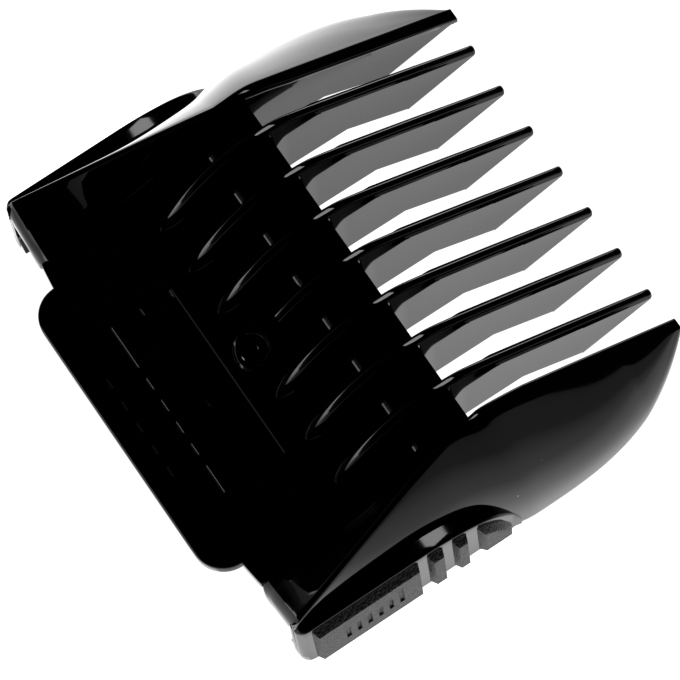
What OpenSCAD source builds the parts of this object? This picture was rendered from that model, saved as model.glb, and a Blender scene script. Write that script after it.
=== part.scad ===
// Guide comb that clips over the head of a hair clipper and holds the blade 6 mm off the skin.
// X is across the teeth, +Y points to the tooth tips and +Z is up. The origin is under the middle
// of the comb, on the surface that it rests on. Inside the modules y runs from the tab's rear edge.

/* [Overall] */
// Length from the rear edge of the tab to the tooth tips
comb_len = 51; // [49:0.5:53]
// Height of the flat tab's top face above the resting surface
tab_z = 8.6; // [8:0.1:9.2]
// Height that the cheek crests round off below
crest_z = 19.2; // [18.6:0.1:19.8]

/* [Teeth] */
// Distance between neighbouring teeth
pitch = 5; // [4.8:0.05:5.1]
// Thickness of an inner tooth
tooth_t = 1.3; // [1:0.1:1.6]
// Height of the tooth tips above the resting surface
tip_z = 4.2; // [3.6:0.1:4.8]
// Fall of the tooth tops for each millimetre forward
tooth_fall = 0.68; // [0.64:0.01:0.72]
// Height of the teeth's underside over the clipper blade
blade_z = 6.1; // [5.6:0.1:6.6]

/* [Deck] */
// Thickness of the plastic shell
shell_t = 1.6; // [1.2:0.1:1.8]
// Half the width of the deck between the two shoulders
deck_half = 19.2; // [19.2:0.1:19.4]
// Length of the tab from its rear edge to its bending line
tab_len = 12.7; // [12:0.1:13.4]
// Where the channels between the ridges change slope
crease_y = 22.2; // [21.5:0.1:23]
// Rise of the deck for each millimetre behind that crease
ramp_1 = 0.474; // [0.44:0.002:0.5]
// Rise of the deck for each millimetre in front of it
ramp_2 = 0.434; // [0.4:0.002:0.46]
// Where the tails of the ridges begin
tail_y = 14.6; // [14:0.1:15.2]

/* [Sides] */
// Half the width over the cheeks' crests at the rear
crest_rear_x = 24.8; // [24.4:0.1:25]
// Half the width over the cheeks' crests at the teeth
crest_front_x = 19.65; // [19.6:0.05:19.9]
// Half the width over the wings at the bottom
wing_x = 26.05; // [25.9:0.05:26.2]
// Height of the wings' rims
rim_z = 10; // [9.6:0.1:10.4]
// Radius of the wings' rounded front ends
wing_r = 9; // [8.6:0.1:9.4]
// Height that the matte pads stand off the right wing
pad_t = 0.7; // [0.4:0.1:0.7]

/* [Tab details] */
// Width of the raised lines on the tab
line_w = 20; // [18:0.5:22]
// Distance between the raised lines
line_gap = 3.28; // [3:0.02:3.5]
// Height of the raised marks
mark_h = 0.25; // [0.15:0.05:0.4]

/* [Hidden] */
tooth_names = ["tooth_1", "tooth_2", "tooth_3", "tooth_4", "tooth_5", "tooth_6", "tooth_7"];
side_names = ["cheek", "outer_tooth", "shoulder", "wing", "latch_hook"];
pad_names = ["right_size_plate", "right_grip_rib_rear", "right_grip_rib_front", "right_grip_end"];
$fn = 48;

gloss = [0.05, 0.05, 0.055];
matte = [0.13, 0.13, 0.135];

tab_lip_half = 16.3;        // half the width of the tab where it projects
tab_corner_r = 3.2;
side_gap = 0.2;             // clearance between the tab and the shoulders
hinge_clearance = 0.03;
hinge_r = shell_t / 2;      // the tab bends about a round front edge
hinge_z = tab_z - hinge_r;
shoulder_y = 3.5;           // rear end of the shoulders and the wings
shoulder_end_y = 24;
crest_front_y = 24.5;       // the crests run straight forward from here
bar_y = 26.2;               // rear face of the front bar
bar_front_y = 29.4;         // front face of the bar, where the teeth begin
tip_y = comb_len - 0.7;
knee_2_y = 35.5;
knee_1_y = 42.4;
fin_x = 18.4;               // inner face of a cheek's own tooth
gate_y = 15.5;
gate_r = 1.7;
crest_w = 0.45;             // width of a cheek's crest
wall_t = 1.4;               // thickness of a cheek's wall
wing_lean = 2;              // degrees that a wing's face leans out
wing_end_y = 28.1;
wing_c_y = 19.2;            // centre of the wings' rounded front ends
wing_c_z = rim_z - wing_r;
plate_y = [4.8, 16.7];
rib_rear_y = [17.7, 19.45];
rib_front_y = [20.5, 22.1];
rib_rear_top = 8.9;
rib_front_top = 8.4;
grip_end_y = 23.3;
grip_end_inset = 1.1;       // from the wing's rounded end to the last pad
pad_low = 0.5;
pad_drop = 0.8;             // how far the size plate stays below the rim
tick_start_y = 8;
tick_gap = 1.2;
tick_z = 3;
tick_w = 0.45;
tick_depth = 0.25;
tick_len = 2.6;
last_tick_len = 4;
line_start_y = 5.5;         // the first raised line on the tab
line_t = 0.4;
arrow_tip_y = 8.2;
arrow_t = 0.3;
arrow_leg = 1.45;
dash_y = 2.4;
dash_len = 1.5;
dash_gap = 2.6;
gate_depth = 0.4;
stub_r = 0.75;
stub_h = 0.35;
hook_y = [3.6, 4.4];
hook_x = [23.2, 24.1];      // inner face of a latch hook, at its foot and at its top
hook_z = [0.3, 3.5];
seam = 0.04;                // room left where a curved face meets its neighbour

// A smooth least of two values, rounded over the width k
function soft_min(a, b, k = 1.2) = (a + b - sqrt((a - b) * (a - b) + k * k)) / 2;
function clamp01(u) = min(1, max(0, u));
function smooth(u) = clamp01(u) * clamp01(u) * (3 - 2 * clamp01(u));
function steps(a, b, n) = [for (i = [0:n]) a + (b - a) * i / n];

// Top of the deck: flat tab, first ramp, second ramp
crease_z = tab_z + ramp_1 * (crease_y - tab_len);
function deck_z(y) =
  y < tab_len ? tab_z :
  y < crease_y ? tab_z + ramp_1 * (y - tab_len) : crease_z + ramp_2 * (y - crease_y);

// Top of the teeth, and of the ridges that run back from them over the deck
function tooth_line(y) = tip_z + tooth_fall * (tip_y - y);
function tooth_top(y) =
  y < 26 ? crest_z - 0.65 - 0.049 * pow(26 - y, 2.12) : soft_min(crest_z - 0.45, tooth_line(y));

// Crest of a cheek, its half width there, and its half width and height at the bottom
function cheek_top(y) = soft_min(
  12.4 + 0.334 * (y - 5.7) - 1.7 * pow(max(0, (6 - y) / 2.5), 2.5),
  soft_min(crest_z, tooth_line(y)));
function crest_x(y) = y > crest_front_y ? crest_front_x :
  crest_rear_x - (crest_rear_x - crest_front_x) * (y - 4.1) / (crest_front_y - 4.1);
function inner_x(y) = crest_x(y) - crest_w;
function foot_x(y) = y < 30 ? 25.2 + 1.05 * smooth((y - 23) / 7) :
  crest_front_x + 6.6 * (1 - pow((y - 30) / (comb_len - 30), 3));
function foot_z(y) = max(0, 0.4 * (y - 44));

// The cheek's outer face at depth u from the crest (0) to the foot (1)
function bulge(u) = 1 - pow(1 - u, 2.5);
function wall_at(y, u) = [crest_x(y) + (foot_x(y) - crest_x(y)) * bulge(u), y,
  cheek_top(y) + (foot_z(y) - cheek_top(y)) * u];
function wall_x(y, z) = wall_at(y, clamp01((cheek_top(y) - z) / cheek_top(y))).x;

// Rim and face of a wing
function rim(y) = y < wing_c_y ? rim_z : wing_c_z + sqrt(wing_r * wing_r - pow(y - wing_c_y, 2));
function wing_face(z) = wing_x - tan(wing_lean) * z;

// A solid between two grids of points, outer and inner, with rows along y
module between(outer, inner) {
  rows = len(outer);
  cols = len(outer[0]);
  half = rows * cols;
  points = concat([for (r = outer) for (p = r) p], [for (r = inner) for (p = r) p]);
  skin = [for (i = [0:rows - 2]) for (j = [0:cols - 2]) each [
    [i * cols + j, (i + 1) * cols + j, (i + 1) * cols + j + 1],
    [i * cols + j, (i + 1) * cols + j + 1, i * cols + j + 1]]];
  edge = concat(
    [for (j = [0:cols - 2]) [j, j + 1]],
    [for (i = [0:rows - 2]) [i * cols + cols - 1, (i + 1) * cols + cols - 1]],
    [for (j = [cols - 1:-1:1]) [(rows - 1) * cols + j, (rows - 1) * cols + j - 1]],
    [for (i = [rows - 1:-1:1]) [i * cols, (i - 1) * cols]]);
  rim_faces = [for (s = edge) each [
    [s[0], s[1], s[1] + half],
    [s[0], s[1] + half, s[0] + half]]];
  back = [for (f = skin) [f[2] + half, f[1] + half, f[0] + half]];
  polyhedron(points, concat(skin, back, rim_faces), convexity = 6);
}

// Moves from the tab's rear edge to the comb's own frame
module placed() {
  translate([0, -comb_len / 2, 0]) children();
}

// The right-hand piece as drawn, or its mirror image on the left
module on_side(side) {
  placed() mirror([side < 0 ? 1 : 0, 0, 0]) children();
}

// An outline drawn in y and z, extruded across x from a to b
module across(a, b) {
  translate([a, 0, 0]) rotate([90, 0, 90]) linear_extrude(b - a) children();
}

module tab_outline() {
  translate([-deck_half + side_gap, shoulder_y]) square([2 * (deck_half - side_gap), tab_len - shoulder_y]);
  translate([-tab_lip_half, tab_corner_r]) square([2 * tab_lip_half, tab_len - tab_corner_r]);
  translate([-tab_lip_half + tab_corner_r, 0]) square([2 * (tab_lip_half - tab_corner_r), tab_len]);
  for (s = [-1, 1]) translate([s * (tab_lip_half - tab_corner_r), tab_corner_r]) circle(tab_corner_r);
}

module release_tab() color(gloss) placed() {
  translate([0, 0, tab_z - shell_t]) linear_extrude(shell_t) tab_outline();
  translate([-deck_half + side_gap, tab_len, hinge_z]) rotate([0, 90, 0])
    cylinder(r = hinge_r, h = 2 * (deck_half - side_gap));
}

// One raised line across the tab, counted from the rear
module tab_line(i) color(gloss) placed() {
  translate([-line_w / 2, line_start_y + i * line_gap, tab_z]) cube([line_w, line_t, mark_h]);
}

module tab_arrow() color(gloss) placed() {
  for (s = [-1, 1]) translate([0, arrow_tip_y, tab_z]) rotate([0, 0, s * 45])
    translate([-arrow_t / 2, arrow_t / 2 - arrow_leg, 0]) cube([arrow_t, arrow_leg, mark_h]);
}

// A row of plain raised dashes near the tab's rear edge
module tab_dashes() color(gloss) placed() {
  for (i = [-2:2]) translate([i * dash_gap - dash_len / 2, dash_y, tab_z])
    cube([dash_len, line_t, mark_h]);
}

module deck() color(gloss) placed() difference() {
  across(-deck_half, deck_half) polygon([
    [tab_len, tab_z + hinge_clearance / 2],
    [crease_y, crease_z],
    [bar_y, deck_z(bar_y)],
    [bar_y, deck_z(bar_y) - shell_t],
    [crease_y, crease_z - shell_t * 1.08],
    [tab_len + 0.9, tab_z - shell_t],
    [tab_len, tab_z - shell_t]]);
  translate([-deck_half - 1, tab_len, hinge_z]) rotate([0, 90, 0])
    cylinder(r = hinge_r + hinge_clearance, h = 2 * deck_half + 2);
  gate_frame() translate([0, 0, -gate_depth]) cylinder(r = gate_r, h = 5);
}

// Frame on the first ramp, with +Z along its normal, where the moulding gate was
module gate_frame() {
  translate([0, gate_y, deck_z(gate_y)]) rotate([atan(ramp_1), 0, 0]) children();
}

module gate_stub() color(gloss) placed() gate_frame() translate([0, 0, -gate_depth]) {
  cylinder(r = stub_r, h = stub_h);
}

// The bar across the front of the deck, scalloped between the teeth
module front_bar() color(gloss) placed() difference() {
  across(-fin_x, fin_x) polygon([
    [bar_y, blade_z + 0.2],
    [bar_front_y, blade_z + 0.2],
    [bar_front_y, deck_z(bar_front_y)],
    [bar_y, deck_z(bar_y)]]);
  slot_r = (pitch - tooth_t) / 2;
  for (k = [-2.5:1:2.5]) translate([k * pitch, bar_front_y + 0.25, 0]) cylinder(r = slot_r, h = 30);
  end_slot = (fin_x - 3 * pitch - tooth_t / 2) / 2;
  for (s = [-1, 1]) translate([s * (fin_x - end_slot), bar_front_y + 0.1, 0])
    cylinder(r = end_slot, h = 30);
}

// Side view of a tooth in front of the bar
function tooth_outline(start, low) = concat(
  [[start, low]],
  [for (y = steps(start, tip_y, 26)) [y, tooth_top(y)]],
  [[tip_y + 0.35, tip_z - 0.35],
   [tip_y + 0.25, tip_z - 0.95],
   [knee_1_y, 0.4],
   [knee_2_y, blade_z - 0.2]]);

// Half the width of a ridge's base on the deck, and of its top
function ridge_base(y) = min(pitch * 0.36, 0.08 + 0.23 * (y - tail_y));
function ridge_top(y) = min(tooth_t / 2, 0.04 + 0.1 * (y - tail_y));

module tooth(k) color(gloss) placed() translate([k * pitch, 0, 0]) difference() {
  union() {
    across(-tooth_t / 2, tooth_t / 2) polygon(tooth_outline(bar_front_y, blade_z + 0.2));
    ridge_ys = concat(steps(tail_y, crease_y, 8), steps(crease_y, bar_front_y, 7));
    rows = [for (i = [0:len(ridge_ys) - 1]) if (i != 9) ridge_ys[i]];
    between(
      [for (y = rows) [[-ridge_w(y), y, deck_z(y)], [-ridge_top(y), y, max(deck_z(y) + 0.05, tooth_top(y))]]],
      [for (y = rows) [[ridge_w(y), y, deck_z(y)], [ridge_top(y), y, max(deck_z(y) + 0.05, tooth_top(y))]]]);
  }
  if (k == 0) translate([0, gate_y, 0]) cylinder(r = 2.9, h = 30);
}

// The base narrows to the tooth's own width at the slot
function ridge_w(y) = y < bar_y ? ridge_base(y) :
  ridge_base(y) + (tooth_t / 2 - ridge_base(y)) * smooth((y - bar_y) / (bar_front_y - bar_y));

cheek_ys = concat(steps(shoulder_y, 6.5, 4), steps(8, 24, 9), steps(crest_front_y, 31, 5),
  steps(32, comb_len - 1, 16), [comb_len - 0.4, comb_len]);

module cheek(side) color(gloss) on_side(side) {
  depths = steps(0, 1, 9);
  between(
    [for (y = cheek_ys) concat([[inner_x(y), y, cheek_top(y)]], [for (u = depths) wall_at(y, u)])],
    [for (y = cheek_ys) concat([[inner_x(y), y, (cheek_top(y) + lining_top(y)) / 2]],
      [for (u = depths) lining_at(y, u)])]);
}

// The tooth at each end of the row, which the cheek's front part is joined to
module outer_tooth(side) color(gloss) on_side(side) {
  across(fin_x, crest_front_x - crest_w) polygon(concat(
    [[bar_y, blade_z + 0.2]],
    [for (y = steps(bar_y, comb_len - 1, 26)) [y, cheek_top(y)]],
    [[comb_len, 3.4],
     [comb_len - 0.1, 2.8],
     [knee_1_y, 0.4],
     [knee_2_y, blade_z - 0.2]]));
}

// The cheek's inner face, about one shell thickness behind its outer face
function lining_top(y) = max(cheek_top(y) - shell_t, foot_z(y) + 0.7 * (cheek_top(y) - foot_z(y)));
function lining_at(y, u) =
  let (top_x = inner_x(y) + 0.1, low_x = max(top_x, foot_x(y) - wall_t))
  [top_x + (low_x - top_x) * bulge(u), y,
   lining_top(y) + (foot_z(y) - lining_top(y)) * u];

// The band that rises from the deck's edge to the crest
module shoulder(side) color(gloss) on_side(side) {
  rows = concat(steps(shoulder_y, 6.5, 4), steps(8, shoulder_end_y, 9));
  parts = steps(0, 1, 4);
  between(
    [for (y = rows) [for (u = parts) band_at(y, u, 0)]],
    [for (y = rows) [for (u = parts) band_at(y, u, shell_t)]]);
}

function band_at(y, u, depth) =
  [deck_half + (inner_x(y) - deck_half) * u, y,
   deck_z(y) + (cheek_top(y) - deck_z(y)) * u - depth];

// The boss on a cheek that carries the pads, with its rim as a ledge
module wing(side) color(gloss) on_side(side) {
  rows = concat(steps(shoulder_y, wing_c_y, 8), steps(wing_c_y, wing_end_y, 8));
  clean_rows = [for (i = [0:len(rows) - 1]) if (i != 9) rows[i]];
  heights = steps(0, 1, 6);
  between(
    [for (y = clean_rows) [for (h = heights) [wall_x(y, rim(y) * h) + seam, y, rim(y) * h]]],
    [for (y = clean_rows) [for (h = heights)
      [max(wing_face(rim(y) * h), wall_x(y, rim(y) * h) + 0.1), y, rim(y) * h]]]);
}

// Frame on the right wing's outer face: x out of the face, z up along it
module on_face() {
  placed() translate([wing_x, 0, 0]) rotate([0, -wing_lean, 0]) children();
}

// A pad on the face between two values of y
module pad(ys, high) {
  on_face() translate([0, ys[0], pad_low]) cube([pad_t, ys[1] - ys[0], high - pad_low]);
}

// The plate carries six engraved ticks, one for each millimetre of cutting length
module size_plate() color(matte) difference() {
  pad(plate_y, rim_z - pad_drop);
  on_face() for (i = [0:5])
    translate([pad_t - tick_depth, tick_start_y + i * tick_gap, tick_z])
      cube([1, tick_w, i == 5 ? last_tick_len : tick_len]);
}

module pad_rib(ys, high) color(matte) pad(ys, high);

module grip_end() color(matte) on_face() intersection() {
  translate([0, grip_end_y, pad_low]) cube([pad_t, 10, 10]);
  translate([0, wing_c_y, wing_c_z]) rotate([0, 90, 0]) cylinder(r = wing_r - grip_end_inset, h = pad_t);
}

// The walls' inner face, which the latch hooks stand on
function hook_root_x(y, z) = lining_at(y, clamp01(1 - z / (cheek_top(y) - shell_t))).x;

function hook_up(u) = hook_z[0] + (hook_z[1] - hook_z[0]) * u;

// Small wedge at the foot of a wall's rear end that snaps under the clipper head
module latch_hook(side) color(gloss) on_side(side) {
  parts = steps(0, 1, 4);
  between(
    [for (y = hook_y) [for (u = parts) [hook_x[0] + (hook_x[1] - hook_x[0]) * u, y, hook_up(u)]]],
    [for (y = hook_y) [for (u = parts) [hook_root_x(y, hook_up(u)) - seam / 2, y, hook_up(u)]]]);
}

release_tab();
tab_line(0);  // tab_line_rear
tab_line(1);  // tab_line_middle
tab_line(2);  // tab_line_front
tab_arrow();
tab_dashes();
deck();
front_bar();
gate_stub();
for (i = [0:6]) tooth(i - 3);
for (s = [-1, 1]) {
  name = s < 0 ? "left_" : "right_";
  cheek(s);
  outer_tooth(s);
  shoulder(s);
  wing(s);
  latch_hook(s);
}
size_plate();
pad_rib(rib_rear_y, rib_rear_top);
pad_rib(rib_front_y, rib_front_top);
grip_end();
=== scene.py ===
"""Looks of the guide comb: glossy black moulding with matte pads, on a white studio floor.

Shapes are worked out in millimetres as (x, v, z), where v runs forward from the tab's rear edge,
and at() turns them into the frame's metres.
"""
import math

import bmesh
import bpy
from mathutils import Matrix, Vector


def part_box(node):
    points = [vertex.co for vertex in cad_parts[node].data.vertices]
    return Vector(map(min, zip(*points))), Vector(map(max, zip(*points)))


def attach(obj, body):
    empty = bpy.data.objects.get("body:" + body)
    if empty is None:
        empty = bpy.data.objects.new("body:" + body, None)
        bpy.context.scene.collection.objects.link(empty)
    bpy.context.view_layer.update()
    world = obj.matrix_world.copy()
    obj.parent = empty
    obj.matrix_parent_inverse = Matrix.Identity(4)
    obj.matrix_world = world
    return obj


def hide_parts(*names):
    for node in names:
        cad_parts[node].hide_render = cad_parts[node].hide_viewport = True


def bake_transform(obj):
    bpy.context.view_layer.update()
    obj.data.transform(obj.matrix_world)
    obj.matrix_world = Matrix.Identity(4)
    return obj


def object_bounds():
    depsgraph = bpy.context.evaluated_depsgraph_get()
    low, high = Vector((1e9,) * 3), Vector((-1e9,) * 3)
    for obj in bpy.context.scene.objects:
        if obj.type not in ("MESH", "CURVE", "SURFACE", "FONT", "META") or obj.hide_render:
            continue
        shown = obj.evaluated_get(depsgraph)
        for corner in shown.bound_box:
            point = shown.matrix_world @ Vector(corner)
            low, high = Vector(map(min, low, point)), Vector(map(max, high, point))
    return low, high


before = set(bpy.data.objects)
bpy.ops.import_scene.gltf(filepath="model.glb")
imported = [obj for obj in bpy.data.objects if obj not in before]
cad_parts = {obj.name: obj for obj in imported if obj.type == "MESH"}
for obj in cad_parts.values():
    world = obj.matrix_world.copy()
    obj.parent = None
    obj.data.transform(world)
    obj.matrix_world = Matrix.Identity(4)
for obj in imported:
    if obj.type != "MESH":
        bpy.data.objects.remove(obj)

MM = 0.001
cad_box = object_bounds()
REAR = cad_box[0].y


def size_of(node, corner, axis):
    """One coordinate of a CAD node's box, in millimetres."""
    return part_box(node)[corner][axis] / MM


# ---------------------------------------------------------------- driving sizes, from the frame
COMB_LEN = (cad_box[1].y - REAR) / MM
TAB_Z = size_of("release_tab", 1, 2)
TAB_LEN = 12.7
PITCH = (size_of("tooth_7", 0, 0) - size_of("tooth_1", 0, 0)) / 6
RIM_Z = size_of("left_wing", 1, 2)
DECK_HALF = size_of("deck", 1, 0)
FIN_X = size_of("right_outer_tooth", 0, 0)
TAB_HALF = size_of("release_tab", 1, 0)

# ---------------------------------------------------------------- sizes of the moulding
CREST_Z = 19.2          # height that the cheek crests round off below
CREST_START = (5.7, 12.4)   # a point on the crests' straight rear part, (v, z)
CREST_RISE = 0.334      # rise of that part for each millimetre forward
CREST_X = 19.65         # the crests' distance from the middle, beside the teeth
CREST_X_REAR = 24.8     # and at the rear
CREST_RUN = (4.1, 24.5)     # the stretch over which they close in
FOOT_X = 25.2           # the cheeks' feet at the rear
FOOT_OUT = 1.05         # how far they swell out beside the teeth
FOOT_V = 30             # where they begin to close in towards the tips
RIDGE_Z = 18.58         # top of the ridges at the slot roots
TIP_Z = 4.2             # top of a tooth at its tip
TIP_V = COMB_LEN - 0.7
FALL = 0.68             # fall of the tooth tops for each millimetre forward
BLADE_Z = 6.1           # line of the clipper's blade under the teeth
SHELL = 1.6             # thickness of the deck and the shoulders
WALL = 1.4              # thickness of the cheeks at their feet
CREASE_V = 22.2         # where the deck's slope changes
RAMP_1 = 0.474          # rise of the deck for each millimetre behind the crease
RAMP_2 = 0.434          # and in front of it
TAIL_V = 14.6           # rear ends of the ridges
SHORT_TAIL_V = 18.3     # that of the middle ridge, which stops at the gate
BAR_V = 26.2            # rear face of the bar behind the slots
ROOT_V = 27.6           # where the slots end
TOOTH_HALF_ROOT = 0.68  # half the thickness of a tooth's sides at the slot's end
TOOTH_HALF_TIP = 0.52
ROOT_FILLET = 0.13
FLANK_Z = 15.5          # above this the flanks of a tooth lean in
SHOULDER_V = 3.5        # rear end of the shoulders, cheeks and wings
SHOULDER_END_V = 24.6
KNEE_1 = (42.4, 0.4)    # bends of a tooth's underside, (v, z)
KNEE_2 = (35.5, BLADE_Z - 0.2)
GATE_V = 15.5           # centre of the gate recess


# ---------------------------------------------------------------- small helpers
def at(x, v, z):
    return Vector((x * MM, REAR + v * MM, z * MM))


def steps(a, b, n):
    return [a + (b - a) * i / n for i in range(n + 1)]


def clamp(u):
    return min(1.0, max(0.0, u))


def smooth(u):
    u = clamp(u)
    return u * u * (3 - 2 * u)


def mix(a, b, u):
    return a + (b - a) * u


def soft_min(a, b, k=1.2):
    return (a + b - math.sqrt((a - b) ** 2 + k * k)) / 2


def bezier(p0, p1, p2, n):
    """Points of a quadratic curve, both ends included."""
    out = []
    for t in steps(0, 1, n):
        out.append(tuple((1 - t) ** 2 * a + 2 * t * (1 - t) * b + t * t * c for a, b, c in zip(p0, p1, p2)))
    return out


# ---------------------------------------------------------------- curves of the moulding
CREASE_Z = TAB_Z + RAMP_1 * (CREASE_V - TAB_LEN)


def deck_z(v):
    if v < TAB_LEN:
        return TAB_Z
    if v < CREASE_V:
        return TAB_Z + RAMP_1 * (v - TAB_LEN)
    return CREASE_Z + RAMP_2 * (v - CREASE_V)


def tooth_line(v):
    return TIP_Z + FALL * (TIP_V - v)


def ridge_z(v):
    """Crest of a ridge on the deck, and of the tooth that it runs on into."""
    if v < 26:
        nose = deck_z(v) + 1.9 * (v - TAIL_V)
        return soft_min(RIDGE_Z - 0.049 * (26 - v) ** 2.12, nose, 0.15)
    return soft_min(CREST_Z - 0.45, tooth_line(v))


def cheek_z(v):
    rear_part = CREST_START[1] + CREST_RISE * (v - CREST_START[0])
    return soft_min(rear_part, soft_min(CREST_Z, tooth_line(v)))


def crest_x(v):
    start, end = CREST_RUN
    if v > end:
        return CREST_X
    return CREST_X_REAR - (CREST_X_REAR - CREST_X) * (v - start) / (end - start)


def foot_x(v):
    if v < FOOT_V:
        return FOOT_X + FOOT_OUT * smooth((v - 23) / 7)
    closing = ((v - FOOT_V) / (COMB_LEN - FOOT_V)) ** 3
    return CREST_X + (FOOT_X + FOOT_OUT - CREST_X) * (1 - closing)


def foot_z(v):
    return max(0.0, 0.4 * (v - 44))


def bulge(u):
    """Outward swell of a cheek, from its crest (u = 0) to its foot (u = 1)."""
    return 1 - (1 - u) ** 2.5


def wall(v, u):
    """A cheek's outer face, from the crest (u = 0) to the foot (u = 1)."""
    x = mix(crest_x(v), foot_x(v), bulge(u))
    return (x, v, mix(cheek_z(v), foot_z(v), u))


def wall_x(v, z):
    return wall(v, clamp((cheek_z(v) - z) / cheek_z(v)))[0]


def inner_x(v):
    """Inner edge of a cheek's crest. It widens into the outer tooth at the front."""
    return crest_x(v) - 0.45 - (DECK_HALF - FIN_X) * smooth((v - 23.5) / 3.5)


def tooth_low(v):
    """Underside of a tooth: root, two knees and the tip's chamfer, which stands a little proud."""
    if v < KNEE_2[0]:
        return mix(BLADE_Z + 0.2, KNEE_2[1], clamp((v - 29.6) / (KNEE_2[0] - 29.6)))
    if v < KNEE_1[0]:
        return mix(KNEE_2[1], KNEE_1[1], (v - KNEE_2[0]) / (KNEE_1[0] - KNEE_2[0]))
    return mix(KNEE_1[1] - 0.22, TIP_Z - 0.95, (v - KNEE_1[0]) / (TIP_V + 0.25 - KNEE_1[0]))


def root_v(z):
    """The wall at the end of a slot."""
    depth = 13.5 - z
    return 27.55 + (0.0273 * depth ** 2 if depth < 2.1 else 0.12 + 0.115 * (depth - 2.1))


# ---------------------------------------------------------------- meshes
def loft(rings):
    """Faces that join equal closed rings of points, with flat ends."""
    n = len(rings[0])
    assert all(len(ring) == n for ring in rings), [len(ring) for ring in rings]
    verts = [p for ring in rings for p in ring]
    faces = []
    for i in range(len(rings) - 1):
        for j in range(n):
            k = (j + 1) % n
            faces.append((i * n + j, i * n + k, (i + 1) * n + k, (i + 1) * n + j))
    faces.append(tuple(range(n)))
    faces.append(tuple((len(rings) - 1) * n + j for j in range(n)))
    return verts, faces


def joined(*parts):
    """Several shapes as one."""
    verts, faces = [], []
    for part_verts, part_faces in parts:
        first = len(verts)
        verts += part_verts
        faces += [tuple(first + i for i in face) for face in part_faces]
    return verts, faces


def piece(name, shape, nodes, material, side=1, body="comb", sharp=35, bevel=0):
    """One finished piece that stands for some CAD nodes and rides on a body."""
    verts, faces = shape
    mesh = bpy.data.meshes.new(name)
    mesh.from_pydata([at(side * x, v, z) for x, v, z in verts], [], faces)
    bm = bmesh.new()
    bm.from_mesh(mesh)
    bmesh.ops.remove_doubles(bm, verts=bm.verts, dist=2e-7)
    bmesh.ops.dissolve_degenerate(bm, edges=bm.edges, dist=1e-7)
    bmesh.ops.recalc_face_normals(bm, faces=bm.faces)
    if bevel:
        edges = [e for e in bm.edges if len(e.link_faces) == 2 and e.calc_face_angle() > 0.7]
        bmesh.ops.bevel(bm, geom=edges, offset=bevel * MM, segments=3, profile=0.6, affect="EDGES")
    bm.to_mesh(mesh)
    bm.free()
    mesh.shade_smooth()
    mesh.set_sharp_from_angle(angle=math.radians(sharp))
    obj = bpy.data.objects.new(name, mesh)
    bpy.context.scene.collection.objects.link(obj)
    mesh.materials.append(material)
    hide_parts(*nodes)
    if body:
        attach(obj, body)
    return obj


# ---------------------------------------------------------------- materials
def principled(name, colour, roughness, ior=1.49):
    material = bpy.data.materials.new(name)
    material.use_nodes = True
    shader = material.node_tree.nodes["Principled BSDF"]
    shader.inputs["Base Color"].default_value = (*colour, 1)
    shader.inputs["Roughness"].default_value = roughness
    shader.inputs["IOR"].default_value = ior
    return material, material.node_tree, shader


def add(tree, kind, **inputs):
    node = tree.nodes.new(kind)
    for key, value in inputs.items():
        node.inputs[key.replace("_", " ")].default_value = value
    return node


def ranged(tree, source, start, end, first, last, **linked):
    """Maps one range of values to another. A linked socket takes the place of its number."""
    node = add(tree, "ShaderNodeMapRange", From_Min=start, From_Max=end, To_Min=first, To_Max=last)
    tree.links.new(source, node.inputs["Value"])
    for key, value in linked.items():
        tree.links.new(value, node.inputs[key.replace("_", " ")])
    return node.outputs["Result"]


def noise(tree, place, scale, detail):
    node = add(tree, "ShaderNodeTexNoise", Scale=scale, Detail=detail)
    tree.links.new(place, node.inputs["Vector"])
    return node.outputs["Fac"]


def mixed(tree, factor, first, second):
    """A colour between two, by a factor."""
    node = tree.nodes.new("ShaderNodeMix")
    node.data_type = "RGBA"
    node.inputs["A"].default_value = (*first, 1)
    node.inputs["B"].default_value = (*second, 1)
    tree.links.new(factor, node.inputs["Factor"])
    return node.outputs["Result"]


BLACK = (0.004, 0.004, 0.0042)
DUST = (0.8, 0.8, 0.8)
PAD_DARK = (0.015, 0.015, 0.016)
PAD_LIGHT = (0.13, 0.13, 0.132)


def gloss_plastic(name, rough_min, rough_max):
    """Polished black moulding: fine handling marks in the roughness, and dust specks."""
    material, tree, shader = principled(name, BLACK, 0.05)
    link = tree.links.new
    place = tree.nodes.new("ShaderNodeTexCoord").outputs["Object"]
    haze = noise(tree, place, 260.0, 3.0)
    link(ranged(tree, haze, 0.35, 0.75, rough_min, rough_max), shader.inputs["Roughness"])
    dust = add(tree, "ShaderNodeTexVoronoi", Scale=330.0, Randomness=1.0)
    link(place, dust.inputs["Vector"])
    both = tree.nodes.new("ShaderNodeMath")
    both.operation = "MULTIPLY"
    link(ranged(tree, dust.outputs["Distance"], 0.035, 0.02, 0.0, 1.0), both.inputs[0])
    link(ranged(tree, noise(tree, place, 95.0, 1.0), 0.57, 0.61, 0.0, 1.0), both.inputs[1])
    link(mixed(tree, both.outputs[0], BLACK, DUST), shader.inputs["Base Color"])
    return material


def matte_plastic():
    """Spark-eroded pads: a fine even grain in the height, the roughness and the tone."""
    material, tree, shader = principled("matte_pad_plastic", PAD_LIGHT, 0.46)
    link = tree.links.new
    place = tree.nodes.new("ShaderNodeTexCoord").outputs["Object"]
    grain = noise(tree, place, 4600.0, 0.0)
    bump = add(tree, "ShaderNodeBump", Strength=1.0, Distance=0.00008)
    link(grain, bump.inputs["Height"])
    link(bump.outputs["Normal"], shader.inputs["Normal"])
    link(ranged(tree, grain, 0.3, 0.7, 0.38, 0.55), shader.inputs["Roughness"])
    tone = ranged(tree, grain, 0.35, 0.65, 0.0, 1.0)
    link(mixed(tree, tone, PAD_DARK, PAD_LIGHT), shader.inputs["Base Color"])
    return material


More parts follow.
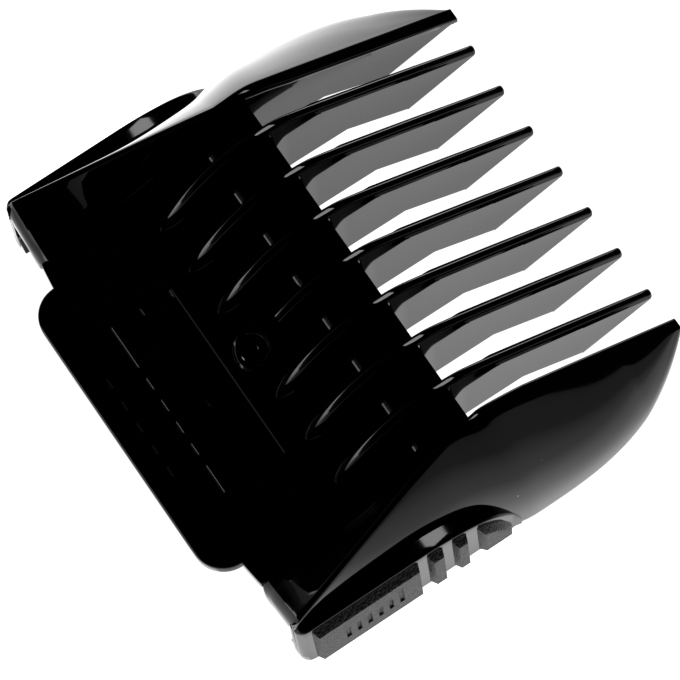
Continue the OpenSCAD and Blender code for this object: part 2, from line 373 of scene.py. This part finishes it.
GLOSS = gloss_plastic("gloss_black_plastic", 0.035, 0.075)
GLOSS_WORN = gloss_plastic("gloss_black_plastic_handled", 0.06, 0.1)
MATTE = matte_plastic()


# ---------------------------------------------------------------- camera, light and floor
def add_camera():
    data = bpy.data.cameras.new("camera")
    data.lens = 268.1
    data.sensor_width = 36
    data.clip_start = 0.01
    data.clip_end = 50
    camera = bpy.data.objects.new("camera", data)
    bpy.context.scene.collection.objects.link(camera)
    camera.location = (0.12567, -0.06125, 0.46823)
    camera.rotation_euler = [math.radians(a) for a in (16.254, 2.4035, 56.1988)]
    bpy.context.scene.camera = camera


def add_world():
    """Black overhead, and brighter towards the horizon, most of all at the left and the rear."""
    world = bpy.data.worlds.new("studio")
    bpy.context.scene.world = world
    world.use_nodes = True
    tree = world.node_tree
    place = tree.nodes.new("ShaderNodeTexCoord")
    split = tree.nodes.new("ShaderNodeSeparateXYZ")
    tree.links.new(place.outputs["Generated"], split.inputs["Vector"])
    glow = ranged(tree, split.outputs["X"], 0.0, 0.35, 4.5, 0.2)
    reach = ranged(tree, split.outputs["Y"], -0.95, -0.7, 0.28, 0.13)
    sky = ranged(tree, split.outputs["Z"], 0.0, 0.28, 4.5, 0.01, From_Max=reach, To_Min=glow)
    sky.node.interpolation_type = "SMOOTHSTEP"
    tree.links.new(sky, tree.nodes["Background"].inputs["Strength"])


def vector_math(tree, operation, source):
    node = tree.nodes.new("ShaderNodeVectorMath")
    node.operation = operation
    tree.links.new(source, node.inputs[0])
    return node


def add_floor():
    """A white floor that glows, which the polished faces reflect. Its glow is painted light: brighter on some
    sides, and kept just at white close around the comb as a painted shadow of the comb.
    """
    bpy.ops.mesh.primitive_circle_add(vertices=96, radius=3, fill_type="NGON")
    floor = bpy.context.object
    floor.name = "floor"
    floor.location.z = cad_box[0].z - 0.02 * MM
    material, tree, shader = principled("floor_white", (0.85, 0.85, 0.85), 0.9)
    shader.inputs["Emission Color"].default_value = (1, 1, 1, 1)
    place = tree.nodes.new("ShaderNodeTexCoord").outputs["Object"]
    split = tree.nodes.new("ShaderNodeSeparateXYZ")
    tree.links.new(place, split.inputs["Vector"])
    across = split.outputs["X"]
    distance = vector_math(tree, "LENGTH", place).outputs["Value"]
    heading = vector_math(tree, "NORMALIZE", place).outputs["Vector"]
    dim_wedge = vector_math(tree, "DOT_PRODUCT", heading)
    dim_wedge.inputs[1].default_value = (-0.92, -0.39, 0)

    # Painted light and shade: close around the comb the floor glows just at white, a painted shadow of the
    # comb; further out it glows brighter to the left and in a strip along the right.
    left = ranged(tree, across, -0.024, -0.034, 1.03, 2.6)
    right = ranged(tree, across, 0.033, 0.04, 1.5, 1.02)
    near = ranged(tree, across, 0.0245, 0.027, 1.0, 1.0, To_Min=left, To_Max=right)
    # Painted light for the faces to reflect: far out the glow is strong on the left, weak on the right, and
    # dimmed in a wedge at the rear left.
    open_side = ranged(tree, across, -0.03, 0.03, 4.2, 0.45)
    far = ranged(tree, dim_wedge.outputs["Value"], 0.9, 0.96, 1.0, 0.4, To_Min=open_side)
    glow = ranged(tree, distance, 0.05, 0.085, 1.0, 1.0, To_Min=near, To_Max=far)
    tree.links.new(glow, shader.inputs["Emission Strength"])
    floor.data.materials.append(material)


def studio():
    add_camera()
    add_world()
    add_floor()
    soft_box((-0.255, 0.36, 0.90), distance=0.9, width=0.28, height=0.25, radiance=8.0)
    view = bpy.context.scene.view_settings
    view.view_transform = "Standard"
    view.look = "None"
    view.gamma = 0.73


def soft_box(direction, distance, width, height, radiance):
    """An area light that faces the comb from one direction."""
    data = bpy.data.lights.new("soft_box", "AREA")
    data.shape = "RECTANGLE"
    data.size = width
    data.size_y = height
    data.energy = radiance * math.pi * width * height
    light = bpy.data.objects.new("soft_box", data)
    bpy.context.scene.collection.objects.link(light)
    towards = Vector(direction).normalized()
    light.location = towards * distance
    light.rotation_euler = towards.to_track_quat("Z", "Y").to_euler()


# ---------------------------------------------------------------- teeth and their ridges
def plate_half(v):
    """Half the thickness of a ridge, and of the tooth it becomes."""
    if v < 26:
        return mix(0.12, 0.5, smooth((v - TAIL_V) / 2.6)) - 0.07 * smooth((v - 19) / 7)
    return 0.43


def side_half(v):
    """Half the thickness of a tooth's sides, with a fillet where they leave the front bar."""
    half = mix(TOOTH_HALF_ROOT, TOOTH_HALF_TIP, clamp((v - ROOT_V) / (TIP_V - ROOT_V)))
    return half + ROOT_FILLET * (1 - smooth((v - ROOT_V + 0.1) / 1.6))


def tooth_ring(v, on_deck):
    """Outline of a tooth across the comb: crest, flank, flare to the deck or side of the blade."""
    top = ridge_z(v)
    half = plate_half(v)
    base = deck_z(v)
    low = tooth_low(v) if v > BAR_V + 0.05 else base - 0.7
    wide = side_half(v)
    flare = min(1.15, 0.55 * max(0.05, top - base))
    flat = 0.004 + 0.126 * smooth((v - 23.5) / 2.5) * (1 - smooth((v - 28) / 3))
    turn = min(half - flat, 0.5 * max(0.06, top - base)) if on_deck else half - flat
    right = [(0, top)]
    for t in steps(0, math.pi / 2, 8):
        right.append((half - turn + turn * math.sin(t), top - turn * (1 - math.cos(t))))
    if on_deck:
        foot = half + 0.04
        for u in steps(0, 1, 4)[1:-1]:
            right.append((mix(half, foot, u), mix(top - turn, base + flare, u)))
        for s in steps(0, math.pi / 2, 7):
            right.append((foot + flare * (1 - math.cos(s)), base + flare * (1 - math.sin(s))))
        right.append((foot + flare + 0.06, base - 0.03))
        right.append((wide, base - 0.3))
    else:
        brow = min(brow_z(v), top - turn - 0.25)
        for u in steps(0, 1, 4)[1:-1]:
            right.append((mix(half, wide, u), mix(top - turn, brow, u)))
        for u in steps(0, 1, 7):
            right.append((wide, mix(brow, max(brow - 1.5, low + 0.4), u)))
        right.append((wide, max(brow - 1.7, low + 0.32)))
        right.append((wide, max(brow - 1.9, low + 0.28)))
    edge = 0.1
    right.append((wide, low + edge + 0.06))
    right.append((wide, low + edge))
    right.append((wide - 0.3 * edge, low + 0.3 * edge))
    right.append((wide - edge, low))
    return right


def mirrored(right, x0, v):
    """A closed ring from its right half, given from the top centre down to the bottom."""
    ring = [(x0 + x, v, z) for x, z in right]
    left = [(x0 - x, v, z) for x, z in right if abs(x) > 1e-9]
    return ring + left[::-1]


BLADE_VS = steps(KNEE_2[0] + 0.4, KNEE_1[0] - 0.02, 12)     # between the knees
TOOTH_VS = [27.56, 27.62, 27.7, 27.8] + steps(27.95, 29.4, 8) + steps(29.7, KNEE_2[0], 14) + \
    BLADE_VS + steps(KNEE_1[0] + 0.02, TIP_V - 0.1, 18)


def tooth_shape(k):
    """A tooth and its ridge, at k pitches from the middle, with a rounded tip."""
    x0 = k * PITCH
    start = TAIL_V if k else SHORT_TAIL_V
    rings = []
    for v in steps(start, 26.0, 40) + [26.24, 26.3, 26.8, 27.2, 27.5]:
        rings.append(mirrored(tooth_ring(v, True), x0, v))
    for v in TOOTH_VS:
        rings.append(mirrored(tooth_ring(v, False), x0, v))
    last = rings[-1]
    mid_z = (max(p[2] for p in last) + min(p[2] for p in last)) / 2
    for ahead, scale in ((0.16, 0.95), (0.28, 0.84), (0.36, 0.66), (0.40, 0.4)):
        rings.append([(x0 + (x - x0) * scale, v + ahead, mid_z + (z - mid_z) * scale) for x, v, z in last])
    return loft(rings)


# ---------------------------------------------------------------- cheeks
REAR_EDGE = 0.75        # depth of the rounded rear edge
REAR_R = 2.6            # its radius; it meets the top at about 45 degrees
CHEEK_VS = [SHOULDER_V + REAR_EDGE * (1 - math.cos(a)) for a in steps(0.0, math.pi / 2, 9)] + \
    steps(4.6, 6.5, 5) + steps(7, 24, 34) + steps(24.4, 31, 16) + steps(31.5, 49.5, 36) + \
    [50, 50.4, 50.7, 50.9, 51.0]


def band_point(v, down):
    """A point on the shoulder band, some way down from the crest's inner edge."""
    x1, z1 = inner_x(v), cheek_z(v)
    x0, z0 = DECK_HALF, deck_z(v)
    length = math.hypot(x1 - x0, z1 - z0)
    u = clamp(down / length)
    return (mix(x1, x0, u), mix(z1, z0, u))


def lean(v, z):
    """How far the inner side of an outer tooth has leaned out at a height."""
    return 0.1 * max(0.0, z - brow_z(max(v, 27.56))) * smooth((v - 23.5) / 1.5)


def brow_z(v):
    """Lower edge of a tooth's drafted flank. It comes down in a round arc at the slot's end."""
    return FLANK_Z - 2.1 * (1 - math.sqrt(1 - clamp((29.2 - v) / 1.65) ** 2))


LIP = 0.9   # how far the cheek's crest reaches down on its inner side


def crest_start(v):
    """First point of a cheek's outline: on the band at the rear, on the blade's side in front."""
    on_band = band_point(v, LIP)
    u = smooth((v - 22.5) / 2)
    low = cheek_z(v) - LIP
    return (mix(on_band[0], inner_x(v) + lean(v, low), u), mix(on_band[1], low, u))


def rear_drop(v):
    """How far the outer faces are drawn in at the rounded rear edge."""
    def arc(ahead):
        return math.sqrt(max(0.0, REAR_R ** 2 - (REAR_R - ahead) ** 2))

    return arc(REAR_EDGE) - arc(min(REAR_EDGE, v - SHOULDER_V))


def drawn_in(points, amount):
    """Moves an outline, drawn from the inside over the top to the outside, inwards."""
    if amount == 0:
        return points
    out = []
    for i, (x, z) in enumerate(points):
        a, b = points[max(0, i - 1)], points[min(len(points) - 1, i + 1)]
        length = math.hypot(b[0] - a[0], b[1] - a[1]) or 1
        out.append((x + (b[1] - a[1]) / length * amount * 0.35, z - (b[0] - a[0]) / length * amount))
    return out


def cheek_ring(v):
    """Outline of a cheek: over the crest, down the outer face and up the lining."""
    top = cheek_z(v)
    start = crest_start(v)
    inner = (inner_x(v) + lean(v, top), top)
    outer = (crest_x(v), top)
    room = (outer[0] - inner[0]) * 0.45
    turn = min(0.35, room)
    reach = math.hypot(start[0] - inner[0], start[1] - inner[1])
    down = (mix(inner[0], start[0], turn / reach), mix(inner[1], start[1], turn / reach))
    ring = [start] + bezier(down, inner, (inner[0] + turn, top), 5)
    first_u = 0.035
    near = wall(v, first_u)
    ring += bezier((outer[0] - turn, top), outer, (near[0], near[2]), 6)
    for u in steps(first_u, 0.985, 30)[1:]:
        p = wall(v, u)
        ring.append((p[0], p[2]))
    foot = (foot_x(v), foot_z(v))
    ring = drawn_in(ring, rear_drop(v))
    foot = (foot[0] - rear_drop(v) * 0.35, foot[1])
    ring.append((foot[0] - 0.06, foot[1] + 0.02))
    ring.append((foot[0] - 0.25, foot[1]))
    thick = min(WALL, max(0.2, foot[0] - inner[0] - 0.5))
    in_top = max(top - SHELL, mix(foot[1], top, 0.7)) - 0.9 * rear_drop(v)
    top_x = inner[0] + 0.1
    low_x = max(top_x, foot[0] - thick)
    for u in steps(1, 0, 12):
        ring.append((mix(top_x, low_x, bulge(u)), mix(in_top, foot[1], u)))
    return [(x, v, z) for x, z in ring]


def cheek_shape():
    return loft([cheek_ring(v) for v in CHEEK_VS])


def blade_ring(v):
    """The tooth at the end of the row, below the cheek's crest."""
    x0 = inner_x(v) + 0.25 * (1 - smooth((v - 24) / 1.2))
    x1 = max(x0 + 0.5, crest_x(v) - 0.15)
    top = cheek_z(v) - LIP
    low = tooth_low(v) if v > BAR_V + 0.05 else deck_z(v) - 0.7
    low = min(low, top - 0.1)
    edge = min(0.12, (top - low) / 3)
    side = top - low - edge
    brow = top - max(0.05, clamp((top - brow_z(max(v, 27.56))) / side) * side)
    heights = steps(top, brow, 4) + steps(brow, low + edge + 0.06, 6)[1:] + [low + edge]
    pts = [(x0 + lean(v, z), z) for z in heights]
    pts += [(x0 + 0.3 * edge, low + 0.3 * edge), (x0 + edge, low)]
    pts += [(x1, low), (x1, top - 0.02)]
    return [(x, v, z) for x, z in pts]


def blade_shape():
    vs = steps(24, BAR_V, 8) + [26.3] + steps(27, KNEE_2[0], 14) + \
        BLADE_VS + steps(KNEE_1[0] + 0.02, COMB_LEN - 0.35, 18)
    return loft([blade_ring(v) for v in vs])


# ---------------------------------------------------------------- deck, shoulders and front bar
FOLD = 1.0      # width of the soft fold where a shoulder leaves the deck


def roof_columns(v):
    """Half outline of the top of a shoulder, from the deck's side up to the cheek's crest."""
    end = crest_start(v)
    corner = (DECK_HALF, deck_z(v))
    length = math.hypot(end[0] - corner[0], end[1] - corner[1])
    fold = min(FOLD, 0.45 * length)
    up = (mix(corner[0], end[0], fold / length), mix(corner[1], end[1], fold / length))
    pts = bezier((corner[0] - fold, corner[1]), corner, up, 8)
    pts += [(mix(up[0], end[0], u), mix(up[1], end[1], u)) for u in steps(0, 1, 6)[1:]]
    return pts


def shoulder_shape():
    """The band from the deck to the crest, with a rounded rear edge."""
    vs = [v for v in CHEEK_VS if v < 7] + steps(7.5, SHOULDER_END_V - 0.05, 33)
    return loft([shoulder_ring(v) for v in vs])


def shoulder_ring(v):
    """Outline of a shoulder, whose rear inner corner is rounded in plan."""
    part = clamp((v - SHOULDER_V) / 2.2)
    shift = 1.4 * (1 - math.sqrt(1 - (1 - part) ** 2))
    start = DECK_HALF - FOLD
    columns = [(x + shift * (1 - smooth((x - start) / 3.2)), z) for x, z in roof_columns(v)]
    top = drawn_in(columns, rear_drop(v))
    under = [(x + 0.05, z - SHELL - 0.9 * rear_drop(v)) for x, z in columns]
    return [(x, v, z) for x, z in top + under[::-1]]


CHANNELS = [PITCH * (k + 0.5) for k in range(-3, 3)] + [-17.2, 17.2]
STEP_H = 0.29       # height of the small step on the crease
CAP_H = 0.33        # and of its cap
CAP_HALF = 0.15
SIDE_RAMP = 0.04    # width of the step's sides
GATE_HOLE = 2.6     # half the side of the square around the gate recess


def step_reach(x):
    """Half the length of the step in the channel at x."""
    return 0.75 if abs(x) < 15 else 0.4


def deck_relief(x, v):
    """A small step on the crease in the middle of each channel, with a wider cap at one end.
    At its rear end the deck slips under the tab's skin."""
    if v < 13.4:
        return -0.06 * smooth((13.4 - v) / 0.5)
    off = min((x - mid for mid in CHANNELS), key=abs)
    reach = step_reach(x)
    mask = clamp((reach + SIDE_RAMP - abs(off)) / SIDE_RAMP)
    cap = clamp((CAP_HALF - abs(off + reach - 0.14)) / 0.03) * clamp((v - CREASE_V + 0.36) / 0.66)
    if v > CREASE_V + 0.22:
        return STEP_H * mask * (1 - smooth((v - CREASE_V - 0.22) / 3))
    return max(STEP_H * mask * clamp((v - CREASE_V + 0.21) / 0.43), CAP_H * cap)


def deck_shape():
    """The sloping shell, with a round recess where the moulding gate was."""
    hole = GATE_HOLE
    across_hole = steps(GATE_V - hole, GATE_V + hole, 12)
    over_step = [21.8, 21.84, 21.92, 21.99, 22.05, 22.1, 22.2, 22.3, 22.38, 22.42, 22.44, 22.5, 22.7]
    vs = sorted(set([TAB_LEN, 12.8, 12.9] + across_hole + steps(18.7, 21.6, 8) + over_step +
                    steps(22.9, BAR_V + 0.3, 12)))
    xs = steps(-DECK_HALF, -hole, 28) + steps(-hole, hole, 12)[1:] + steps(hole, DECK_HALF, 28)[1:]
    for mid in CHANNELS:
        reach = step_reach(mid)
        xs += [mid + side * (reach + d) for side in (-1, 1) for d in (0, SIDE_RAMP)]
        xs += [mid - reach + 0.14 + d for d in (-CAP_HALF, -0.12, 0.12, CAP_HALF)]
    xs = sorted(x for x in set(round(x, 4) for x in xs) if abs(x) <= DECK_HALF)
    over_hole = [x for x in xs if abs(x) < hole + 0.001]
    verts, faces, index = [], [], {}

    def add_point(x, v, z):
        verts.append((x, v, z))
        return len(verts) - 1

    for i, v in enumerate(vs):
        for j, x in enumerate(xs):
            index[i, j] = add_point(x, v, deck_z(v) + deck_relief(x, v))
    below = {}
    for i, v in enumerate(vs):
        for j, x in enumerate(xs):
            below[i, j] = add_point(x, v, deck_z(v) - SHELL)
    eps = 1e-6
    for i in range(len(vs) - 1):
        for j in range(len(xs) - 1):
            inside = (vs[i] >= GATE_V - hole - eps and vs[i + 1] <= GATE_V + hole + eps
                      and xs[j] >= -hole - eps and xs[j + 1] <= hole + eps)
            if not inside:
                faces.append((index[i, j], index[i, j + 1], index[i + 1, j + 1], index[i + 1, j]))
            faces.append((below[i, j], below[i + 1, j], below[i + 1, j + 1], below[i, j + 1]))
    last_i, last_j = len(vs) - 1, len(xs) - 1
    for i in range(last_i):
        for j in (0, last_j):
            faces.append((index[i, j], index[i + 1, j], below[i + 1, j], below[i, j]))
    for j in range(last_j):
        for i in (0, last_i):
            faces.append((index[i, j], index[i, j + 1], below[i, j + 1], below[i, j]))

    rim = [(x, GATE_V - hole) for x in over_hole]
    rim += [(hole, v) for v in across_hole[1:]]
    rim += [(x, GATE_V + hole) for x in over_hole[::-1][1:]]
    rim += [(-hole, v) for v in steps(GATE_V + hole, GATE_V - hole, 12)[1:-1]]
    # radius and depth, from the outside over the raised rim to the middle
    profile = [(2.4, 0), (2.3, -0.01), (2.2, -0.05), (1.95, -0.19), (1.87, -0.22), (1.78, -0.22),
               (1.68, -0.18), (1.6, -0.1), (1.5, 0.0), (1.38, 0.06), (1.1, 0.09), (0.8, 0.09),
               (0.4, 0.09), (0.12, 0.09)]
    ring = [add_point(x, v, deck_z(v) + deck_relief(x, v)) for x, v in rim]
    for radius, depth in profile:
        nxt = []
        for x, v in rim:
            angle = math.atan2(v - GATE_V, x)
            px = radius * math.cos(angle)
            pv = GATE_V + radius * math.sin(angle) * math.cos(math.atan(RAMP_1))
            nxt.append(add_point(px, pv + depth * 0.42, deck_z(pv) - depth * 0.9))
        for a in range(len(ring)):
            b = (a + 1) % len(ring)
            faces.append((ring[a], ring[b], nxt[b], nxt[a]))
        ring = nxt
    faces.append(tuple(ring))
    return verts, faces


def gate_stub_shape():
    """The short stub left in the recess."""
    slope = math.atan(RAMP_1)
    # radius and height, from the foot up over the rim to the hollow end
    outline = ((0.85, -0.3), (0.83, -0.05), (0.76, 0.05), (0.62, 0.1), (0.5, 0.08), (0.36, -0.02),
               (0.12, -0.06))
    rings = []
    for radius, height in outline:
        ring = []
        for a in range(32):
            angle = 2 * math.pi * a / 32
            x = radius * math.cos(angle)
            along = radius * math.sin(angle)
            v = GATE_V + along * math.cos(slope) - height * math.sin(slope)
            z = deck_z(GATE_V) + along * math.sin(slope) + height * math.cos(slope)
            ring.append((x, v, z))
        rings.append(ring)
    return loft(rings)


def front_bar_shape():
    """The bar behind the slots."""
    profile = [(BAR_V - 0.02, BLADE_Z + 0.2), (BAR_V - 0.02, deck_z(BAR_V - 0.02))]
    profile += [(27.2, deck_z(27.2)), (27.6, deck_z(27.6))]
    profile += [(root_v(z), z) for z in steps(15.3, BLADE_Z + 0.45, 16)]
    profile += [(root_v(BLADE_Z + 0.2) - 0.1, BLADE_Z + 0.22)]
    return loft([[(x, v, z) for v, z in profile] for x in steps(-FIN_X, FIN_X, 24)])


# ---------------------------------------------------------------- tab
def tab_half(v):
    """Half the width of the tab: rounded rear corners, then the step out to the hinge."""
    corner, lip = 3.2, 16.3
    if v < corner:
        return lip - corner + math.sqrt(max(0, corner ** 2 - (corner - v) ** 2))
    return mix(lip, TAB_HALF, smooth((v - 3.1) / 0.5))


TAB_EDGE = 0.28     # radius of the tab's long edges
TAB_PROUD = 0.004   # keeps the tab's skin just above the deck that it runs on into


def tab_shape():
    """The thumb tab, bent into the deck at its front end."""
    vs = [0.0, 0.02, 0.06, 0.12, 0.2, 0.3, 0.45, 0.65, 0.9, 1.2, 1.6, 2.0, 2.4, 2.8, 3.1]
    vs += steps(3.15, 3.6, 9) + steps(3.8, TAB_LEN, 30) + steps(12.75, 13.5, 4)
    corner = [(TAB_EDGE * (1 - math.cos(a)), -TAB_EDGE * (1 - math.sin(a))) for a in steps(0, math.pi / 2, 4)]
    rings = []
    for v in vs:
        half = tab_half(v)
        back = TAB_EDGE * (1 - clamp(v / 0.25)) ** 2
        top = [(x - half, z) for x, z in corner]
        top += [((half - TAB_EDGE) * c, 0) for c in steps(-1, 1, 24)[1:-1]]
        top += [(half - x, z) for x, z in reversed(corner)]
        level = deck_z(v) + TAB_PROUD - back
        ring = [(x, v, level + z) for x, z in top]
        low = TAB_Z - SHELL + back
        ring += [(half, v, low + 0.2), (half - 0.2, v, low), (-half + 0.2, v, low), (-half, v, low + 0.2)]
        rings.append(ring)
    return loft(rings)


LINE_V = 5.7        # the rear raised line on the tab
LINE_GAP = 3.28
LINE_HALF = 10
LINE_SIZE = (0.52, 0.235)   # width and height
MARK_SIZE = (0.46, 0.19)    # those of the arrow and the dashes
ARROW_V = 7.25
ARROW_HALF = 0.95
DASH_V = 2.6
DASH_GAP = 2.6
DASH_HALF = 0.75


def bar_shape(x0, v0, x1, v1, width, height):
    """A low raised bar with sloping sides on the tab, from one point to another."""
    along = Vector((x1 - x0, v1 - v0)).normalized()
    across = Vector((-along.y, along.x))
    length = math.hypot(x1 - x0, v1 - v0)
    rings = []
    section = [(1, -0.05), (1, 0.0), (0.2, height), (-0.2, height), (-1, 0.0), (-1, -0.05)]
    stations = [(0.0, 0.1), (0.06, 0.35), (0.15, 0.75), (0.25, 1.0), (0.3, 1.0)]
    stations += [(length - d, s) for d, s in reversed(stations)]
    for d, s in stations:
        ring = []
        for side, up in section:
            off = across * (side * width / 2 * mix(s, 1, 0.6))
            z = TAB_Z + (up * s if up > 0 else up)
            ring.append((x0 + along.x * d + off.x, v0 + along.y * d + off.y, z))
        rings.append(ring)
    return loft(rings)


# ---------------------------------------------------------------- wings and pads
WING_R = 9.0                    # radius of a wing's rounded front end
WING_C = (19.2, RIM_Z - WING_R)     # and its centre, (v, z)
WING_X = 26.05                  # a wing's outer face at its foot
LEAN = math.radians(2)
RIM_CURVE = 16.8                # where a wing's rim begins to fall
RIM_ROUND = 21.5                # where the rounded end begins
CORNER = 1.1                    # radius in plan of a wing's rear outer corner


def rim(v):
    """Height of a wing's rim: level, then gently falling, then round."""
    def gentle(at_v):
        return RIM_Z - (at_v - RIM_CURVE) ** 2 / 32

    def round_end(at_v):
        return WING_C[1] + math.sqrt(max(0, WING_R ** 2 - (at_v - WING_C[0]) ** 2))

    if v < RIM_CURVE:
        return RIM_Z
    if v < RIM_ROUND:
        return gentle(v)
    return round_end(v) + gentle(RIM_ROUND) - round_end(RIM_ROUND)


def face_x(z):
    return WING_X - math.tan(LEAN) * z


def corner_in(v):
    ahead = v - SHOULDER_V
    return 0 if ahead >= CORNER else CORNER - math.sqrt(max(0, CORNER ** 2 - (CORNER - ahead) ** 2))


def wing_out(v, z):
    """Outer face of a wing, which stays just outside the cheek that it grows from."""
    return max(face_x(z) - corner_in(v), wall_x(v, z) + 0.12 - 1.1 * corner_in(v))


def wing_ring(v):
    top = rim(v) - rear_drop(v) * 0.6
    edge = min(0.3, top * 0.4)
    x_in = wall_x(v, top) - 0.5 - 0.5 * corner_in(v)
    x_out = wing_out(v, top)
    pts = [(x_in, 0.0), (x_in, top)]
    pts += [(mix(x_in, x_out - edge, u), top) for u in steps(0, 1, 5)[1:]]
    pts += [(x_out - edge + edge * math.sin(a), top - edge + edge * math.cos(a))
            for a in steps(0, math.pi / 2, 6)[1:]]
    pts += [(wing_out(v, z), z) for z in steps(top - edge, 0.25, 8)[1:]]
    pts += [(pts[-1][0] - 0.2, 0.0)]
    return [(x, v, z) for x, z in pts]


def wing_shape():
    vs = [v for v in CHEEK_VS if v < 6] + steps(6.2, RIM_CURVE, 16) + steps(17, RIM_ROUND, 16)
    vs += [WING_C[0] + WING_R * math.sin(a) for a in steps(0.28, 1.42, 26)]
    return loft([wing_ring(v) for v in vs])


PAD_T = 0.7         # how far the pads stand out from the wing
PAD_LOW = 0.5       # their lower edge


def slab(v0, v1, z1, cut=None):
    """A pad as a relief over its footprint, with a wide bevel at the top and narrow ones elsewhere."""
    z0 = PAD_LOW
    top_w, rear_w, side_w = 0.75, 0.4, 0.28

    def stations(a, b, first, last):
        """Places along one side, closer together on the bevels at its two ends."""
        n = max(4, int((b - a) / 0.12))
        inner = steps(a + first, b - last, n)
        return [a, a + 0.03] + steps(a + 0.08, a + first - 0.05, 3) + inner + \
            steps(b - last + 0.06, b - 0.08, 3) + [b - 0.03, b]

    def height(v, z):
        rise = min(clamp((v - v0) / rear_w), clamp((v1 - v) / side_w),
                   clamp((z - z0) / side_w), clamp((z1 - z) / top_w))
        return PAD_T * mix(rise, smooth(rise), 0.35)

    vs = stations(v0, v1, rear_w, side_w)
    zs = stations(z0, z1, side_w, top_w)
    verts, faces = [], []
    for v in vs:
        for z in zs:
            verts.append((face_x(z) + height(v, z) - (cut(v, z) if cut else 0), v, z))
    count = len(zs)
    total = len(verts)
    for v in vs:
        for z in zs:
            verts.append((face_x(z) - 0.15, v, z))
    for i in range(len(vs) - 1):
        for j in range(count - 1):
            a, b, c, d = i * count + j, i * count + j + 1, (i + 1) * count + j + 1, (i + 1) * count + j
            faces.append((a, b, c, d))
            faces.append((total + d, total + c, total + b, total + a))
    for i in range(len(vs) - 1):
        for j in (0, count - 1):
            a, b = i * count + j, (i + 1) * count + j
            faces.append((a, b, total + b, total + a))
    for j in range(count - 1):
        for i in (0, len(vs) - 1):
            a, b = i * count + j, i * count + j + 1
            faces.append((a, b, total + b, total + a))
    return verts, faces


def ticks(v, z):
    """Six engraved lines, one for each millimetre of cutting length, the last one longer."""
    depth = 0.0
    for i in range(6):
        length = 4.0 if i == 5 else 2.6
        dv = abs(v - (8.2 + i * 1.2))
        dz = abs(z - (3 + length / 2)) - length / 2
        if dv < 0.26 and dz < 0.1:
            depth = max(depth, 0.2 * smooth((0.26 - dv) / 0.12) * smooth((0.1 - dz) / 0.12))
    return depth


def grip_end_shape():
    """The D-shaped pad that follows the wing's rounded end."""
    v0, low = 23.3, PAD_LOW
    radius = WING_R - 1.1
    centre_v, centre_z = WING_C[0], WING_C[1] - 0.3

    def outline(inset):
        r = radius - inset
        a_low = math.asin((low + inset - centre_z) / r)
        a_top = math.acos((v0 + inset - centre_v) / r)
        pts = [(centre_v + r * math.cos(a), centre_z + r * math.sin(a)) for a in steps(a_low, a_top, 24)]
        v_left = v0 + inset
        pts += [(v_left, z) for z in steps(pts[-1][1], low + inset, 8)[1:]]
        pts += [(v, low + inset) for v in steps(v_left, pts[0][0], 6)[1:-1]]
        return pts

    rings = [[(face_x(z) - 0.15, v, z) for v, z in outline(0)]]
    bevel = ((0, 0.02), (0.08, 0.14), (0.25, 0.45), (0.42, 0.86), (0.5, 0.97), (0.58, 1))
    for inset, rise in bevel + ((0.8, 1), (1.1, 1), (1.4, 1), (1.7, 1)):
        rings.append([(face_x(z) + rise * PAD_T, v, z) for v, z in outline(inset)])
    return loft(rings)


# ---------------------------------------------------------------- latch hooks
def lining_x(v, z):
    """Inner face of a cheek."""
    top = cheek_z(v)
    in_top = max(top - SHELL, 0.7 * top)
    u = clamp(1 - z / in_top)
    return mix(inner_x(v) + 0.1, foot_x(v) - WALL, bulge(u))


def hook_shape():
    """A small wedge on the lining, which reaches in furthest at its foot."""
    v0, v1 = 3.6, 4.4
    rings = []
    for u in steps(0, 1, 6):
        x, z = mix(23.2, 24.3, u), mix(0.3, 3.5, u)
        rings.append([(x, v0, z), (x, v1, z), (lining_x(v1, z) + 0.2, v1, z), (lining_x(v0, z) + 0.2, v0, z)])
    return loft(rings)


# ---------------------------------------------------------------- the comb
SIDES = (("left_", -1), ("right_", 1))


def build_middle():
    for k in range(-3, 4):
        name = "tooth_%d" % (k + 4)
        piece(name + "_moulded", tooth_shape(k), [name], GLOSS)
    piece("deck_moulded", deck_shape(), ["deck"], GLOSS, sharp=20)
    piece("front_bar_moulded", front_bar_shape(), ["front_bar"], GLOSS)
    piece("gate_stub_moulded", gate_stub_shape(), ["gate_stub"], GLOSS)


def build_tab():
    tab = piece("release_tab_moulded", tab_shape(), ["release_tab"], GLOSS, body=None)
    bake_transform(tab)
    for i, which in enumerate(("rear", "middle", "front")):
        name = "tab_line_" + which
        v = LINE_V + LINE_GAP * i
        piece(name + "_moulded", bar_shape(-LINE_HALF, v, LINE_HALF, v, *LINE_SIZE), [name], GLOSS, body="tab")
    arms = [bar_shape(side * ARROW_HALF, ARROW_V, 0, ARROW_V + ARROW_HALF, *MARK_SIZE) for side in (-1, 1)]
    piece("tab_arrow_moulded", joined(*arms), ["tab_arrow"], GLOSS, body="tab")
    dashes = []
    for x in [i * DASH_GAP for i in range(-2, 3)]:
        dashes.append(bar_shape(x - DASH_HALF, DASH_V, x + DASH_HALF, DASH_V, *MARK_SIZE))
    piece("tab_dashes_moulded", joined(*dashes), ["tab_dashes"], GLOSS, body="tab")


def build_sides():
    for prefix, side in SIDES:
        def make(part, shape, material=GLOSS, bevel=0):
            piece(prefix + part + "_moulded", shape, [prefix + part], material, side=side, bevel=bevel)

        make("cheek", cheek_shape())
        make("outer_tooth", blade_shape())
        make("shoulder", shoulder_shape())
        make("wing", wing_shape(), GLOSS_WORN)
        make("latch_hook", hook_shape(), bevel=0.1)


def build_pads():
    """The matte pads, which only the right wing has."""
    def pad(part, shape):
        piece("right_" + part + "_moulded", shape, ["right_" + part], MATTE, sharp=25)

    pad("size_plate", slab(4.8, 16.7, 9.2, cut=ticks))
    pad("grip_rib_rear", slab(17.7, 19.45, 8.9))
    pad("grip_rib_front", slab(20.5, 22.1, 8.4))
    pad("grip_end", grip_end_shape())


studio()
build_middle()
build_tab()
build_sides()
build_pads()
